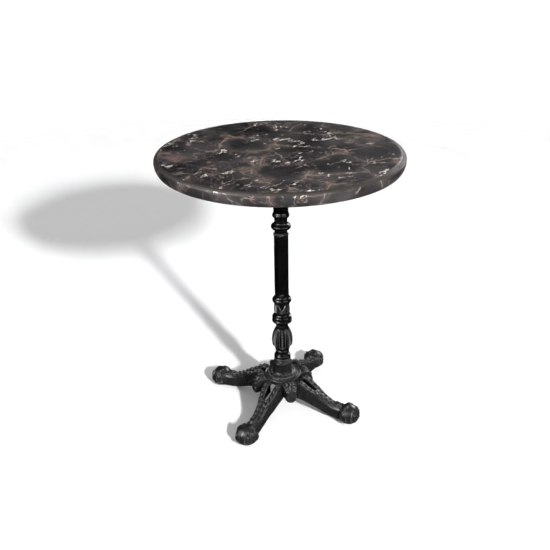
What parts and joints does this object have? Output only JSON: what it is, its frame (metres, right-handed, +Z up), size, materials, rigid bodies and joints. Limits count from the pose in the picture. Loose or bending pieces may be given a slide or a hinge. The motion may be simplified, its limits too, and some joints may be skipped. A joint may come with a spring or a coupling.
{
  "type": "bistro table",
  "caption": "Round bistro table: a moulded marble-look top on a ringed, fluted cast column and a cast base with spreading forked legs and levelling feet.",
  "frame": {"origin": "centre of the floor footprint, on the column's axis, at the underside of the glide pads", "axes": "+Z up along the column; the legs point along the diagonals between +X and +Y"},
  "size_m": [0.6004, 0.6004, 0.73],
  "materials": {
    "base_iron": "satin black powder coat",
    "column_gloss": "gloss black enamel",
    "spider_iron": "satin black powder coat",
    "panel_board": "moulded resin-bonded wood fibre, dark, matt",
    "marble_decor": "satin-gloss melamine decor, dark marble pattern",
    "zinc_steel": "bright zinc plate",
    "glide_nylon": "matt black nylon"
  },
  "bodies": {
    "base": {"base_casting": "base_iron", "column_lower": "column_gloss", "column_upper": "column_gloss", "top_spider": "spider_iron", "top_panel": "panel_board", "decor_skin": "marble_decor", "panel_inserts": "zinc_steel", "panel_screws": "zinc_steel", "tie_rod": "zinc_steel", "lower_clamp_washer": "zinc_steel", "lower_spring_washer": "zinc_steel", "lower_rod_nut": "zinc_steel", "upper_rod_washer": "zinc_steel", "upper_rod_nut": "zinc_steel"},
    "pad_front_left": {"glide_pad_front_left": "glide_nylon"},
    "stud_front_left": {"glide_stud_front_left": "zinc_steel"},
    "pad_front_right": {"glide_pad_front_right": "glide_nylon"},
    "stud_front_right": {"glide_stud_front_right": "zinc_steel"},
    "pad_back_right": {"glide_pad_back_right": "glide_nylon"},
    "stud_back_right": {"glide_stud_back_right": "zinc_steel"},
    "pad_back_left": {"glide_pad_back_left": "glide_nylon"},
    "stud_back_left": {"glide_stud_back_left": "zinc_steel"}
  },
  "joints": [
    {"name": "glide_travel_front_left", "type": "slide", "parent": "base", "child": "pad_front_left", "axis": [0, 0, -1], "range_m": [0, 0.01]},
    {"name": "glide_screw_front_left", "type": "hinge", "parent": "pad_front_left", "child": "stud_front_left", "pos_m": [-0.14213, -0.14213, 0.02], "axis": [0, 0, -1], "range_deg": [0, 2880]},
    {"name": "glide_travel_front_right", "type": "slide", "parent": "base", "child": "pad_front_right", "axis": [0, 0, -1], "range_m": [0, 0.01]},
    {"name": "glide_screw_front_right", "type": "hinge", "parent": "pad_front_right", "child": "stud_front_right", "pos_m": [0.14213, -0.14213, 0.02], "axis": [0, 0, -1], "range_deg": [0, 2880]},
    {"name": "glide_travel_back_right", "type": "slide", "parent": "base", "child": "pad_back_right", "axis": [0, 0, -1], "range_m": [0, 0.01]},
    {"name": "glide_screw_back_right", "type": "hinge", "parent": "pad_back_right", "child": "stud_back_right", "pos_m": [0.14213, 0.14213, 0.02], "axis": [0, 0, -1], "range_deg": [0, 2880]},
    {"name": "glide_travel_back_left", "type": "slide", "parent": "base", "child": "pad_back_left", "axis": [0, 0, -1], "range_m": [0, 0.01]},
    {"name": "glide_screw_back_left", "type": "hinge", "parent": "pad_back_left", "child": "stud_back_left", "pos_m": [-0.14213, 0.14213, 0.02], "axis": [0, 0, -1], "range_deg": [0, 2880]}
  ],
  "couplings": [
    {"joint": "glide_screw_front_left", "follows": "glide_travel_front_left", "rad_per_m": 5026.5},
    {"joint": "glide_screw_front_right", "follows": "glide_travel_front_right", "rad_per_m": 5026.5},
    {"joint": "glide_screw_back_right", "follows": "glide_travel_back_right", "rad_per_m": 5026.5},
    {"joint": "glide_screw_back_left", "follows": "glide_travel_back_left", "rad_per_m": 5026.5}
  ]
}
